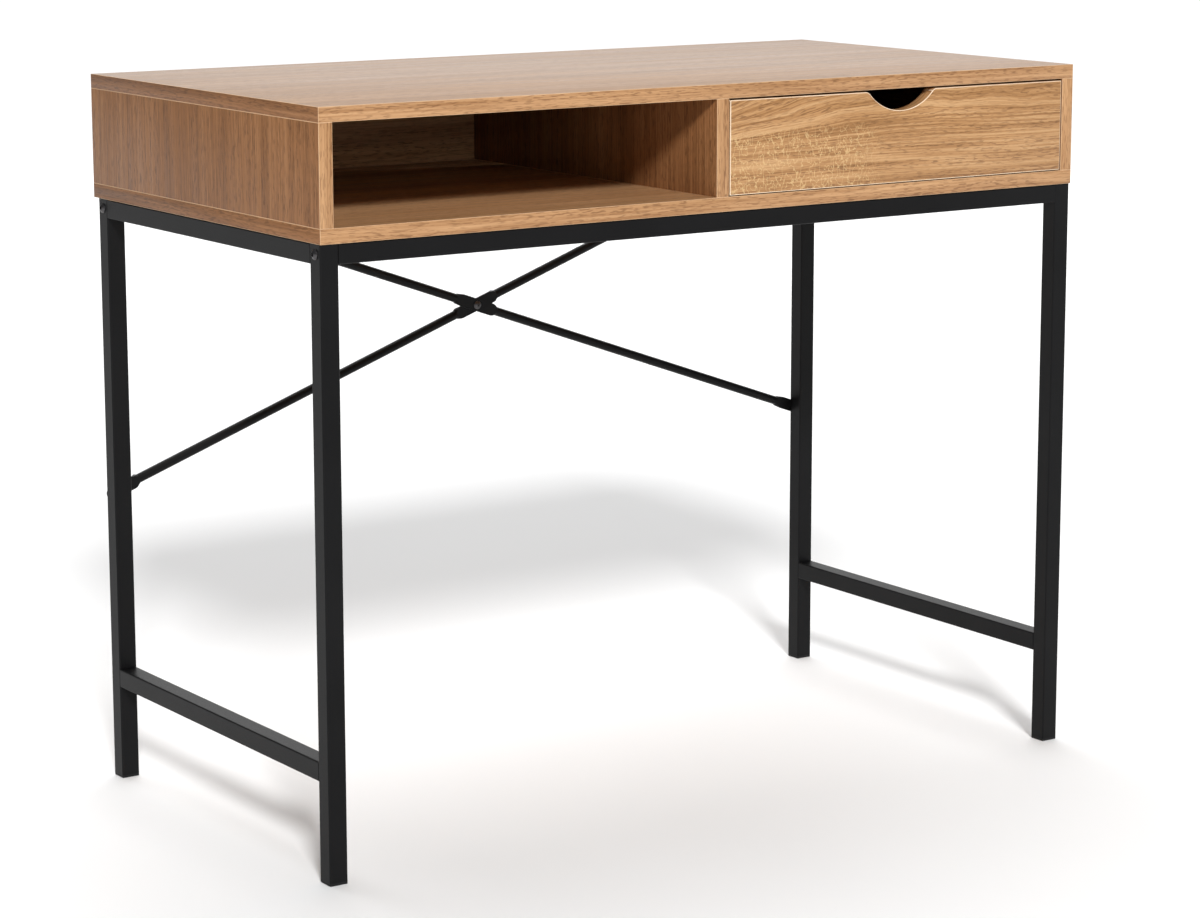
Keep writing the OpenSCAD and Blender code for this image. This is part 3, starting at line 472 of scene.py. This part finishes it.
bpy.ops.object.mode_set(mode="OBJECT")

front_foil = oak_foil(
    "front_oak_foil", paint(146, 105, 64), paint(173, 130, 86), paint(189, 149, 105), paint(108, 73, 44),
    contrast=1.5, figured=True)
front_line = edge_strip("front_strip_line", paint(228, 202, 172), paint(238, 216, 190))
dress(drawer_face, "drawer_front", X, 7, front_foil, front_line, body="drawer")


# ---------------------------------------------------------------------------
# Drawer box: 12 mm foil-faced sides and back, and a 3 mm hardboard sheet in
# grooves. Cam fittings hold the front, and screws through the sides hold the back.

box_foil = oak_foil(
    "box_oak_foil", paint(172, 132, 90), paint(192, 152, 110), paint(206, 168, 128), paint(138, 100, 66), contrast=0.8)
box_line = edge_strip("box_strip_line", paint(200, 164, 124), paint(214, 182, 146))

for seed, (board_name, node, fitting, along) in enumerate((
        ("drawer_left_board", "drawer_left_side", "drawer_cam_locks", Y),
        ("drawer_right_board", "drawer_right_side", "drawer_cam_locks", Y),
        ("drawer_back_board", "drawer_back", None, X)), start=8):
    box_board = solid_board(board_name, node)
    if fitting:
        bed_fittings(box_board, fitting)
        bed_fittings(box_board, "drawer_back_screws")
    dress(box_board, node, along, seed, box_foil, box_line, body="drawer")

sheet_foil = plain_wood("drawer_sheet_foil", paint(176, 136, 96), paint(200, 162, 120), (6.0, 260.0, 6.0))
repaint(sheet_foil, "drawer_bottom")
repaint(bright_zinc, "drawer_cam_bolts", "drawer_back_screws")
repaint(cast_zinc, "drawer_cam_locks")


# ---------------------------------------------------------------------------
# Drawer runners: pressed steel with a cream powder coat, screwed to the bay and
# under the drawer. White nylon rollers turn on riveted pins.

def powder_coat(name, colour, lighter, roughness, peel, gloss=0.5):
    """A baked powder coat: an even colour with a fine pebbled skin."""
    material, shader, tree = finish_named(name)
    place = add(tree, "TexCoord", {}).outputs["Object"]
    pebble = speckle(tree, place, detail=2.0, scale=peel)
    cloud = spread(tree, speckle(tree, place, detail=2.0, scale=9.0), 0.3, 0.7)
    tree.links.new(blended(tree, cloud, colour, lighter), shader.inputs["Base Color"])
    tree.links.new(spread(tree, pebble, 0.3, 0.7, roughness - 0.07, roughness + 0.07), shader.inputs["Roughness"])
    shader.inputs["Specular IOR Level"].default_value = gloss
    relief = add(tree, "Bump", {"Strength": 0.25, "Distance": 0.0001, "Height": pebble})
    tree.links.new(relief.outputs[0], shader.inputs["Normal"])
    return material


cream_coat = powder_coat("cream_runner_coat", paint(226, 222, 210), paint(232, 229, 219), 0.42, 1400.0)
nylon = powder_coat("roller_nylon", paint(232, 230, 222), paint(238, 237, 231), 0.36, 500.0)
repaint(cream_coat, "left_cabinet_runner", "right_cabinet_runner", "left_drawer_runner", "right_drawer_runner")
repaint(nylon, "left_cabinet_roller", "right_cabinet_roller", "left_drawer_roller", "right_drawer_roller")
repaint(bright_zinc, "cabinet_roller_pins", "drawer_roller_pins", "cabinet_runner_screws", "drawer_runner_screws")


# ---------------------------------------------------------------------------
# Tube frame: 20 mm square steel tube with a fine black powder coat. The legs and
# the side rails are welded, and the front and rear rails are bolted between them.

black_coat = powder_coat("black_powder_coat", paint(13, 13, 14), paint(18, 18, 19), 0.42, 1700.0, gloss=0.13)
repaint(black_coat, "front_left_leg", "front_right_leg", "back_left_leg", "back_right_leg")
repaint(black_coat, "left_top_rail", "right_top_rail", "left_lower_rail", "right_lower_rail")
repaint(black_coat, "front_rail", "rear_rail")

black_oxide = plated_metal("black_oxide", paint(78, 78, 82), paint(88, 86, 86), 0.34, 700.0)
repaint(black_oxide, "frame_bolts")


# ---------------------------------------------------------------------------
# Foot caps: black moulded plastic plugs pushed into the legs, flush with the tube.

cap_plastic = powder_coat("foot_cap_plastic", paint(15, 15, 16), paint(20, 20, 21), 0.55, 900.0, gloss=0.25)
repaint(cap_plastic, "front_left_foot", "front_right_foot", "back_left_foot", "back_right_foot")


# ---------------------------------------------------------------------------
# Back braces: two 10 mm round tubes, pressed flat at their ends and where they
# cross, bolted to the back legs and the rear rail, and to each other.

repaint(black_coat, "rising_brace", "falling_brace")
repaint(black_oxide, "brace_bolts", "brace_centre_bolt", "brace_centre_nut")
repaint(bright_zinc, "brace_rivet_nuts")
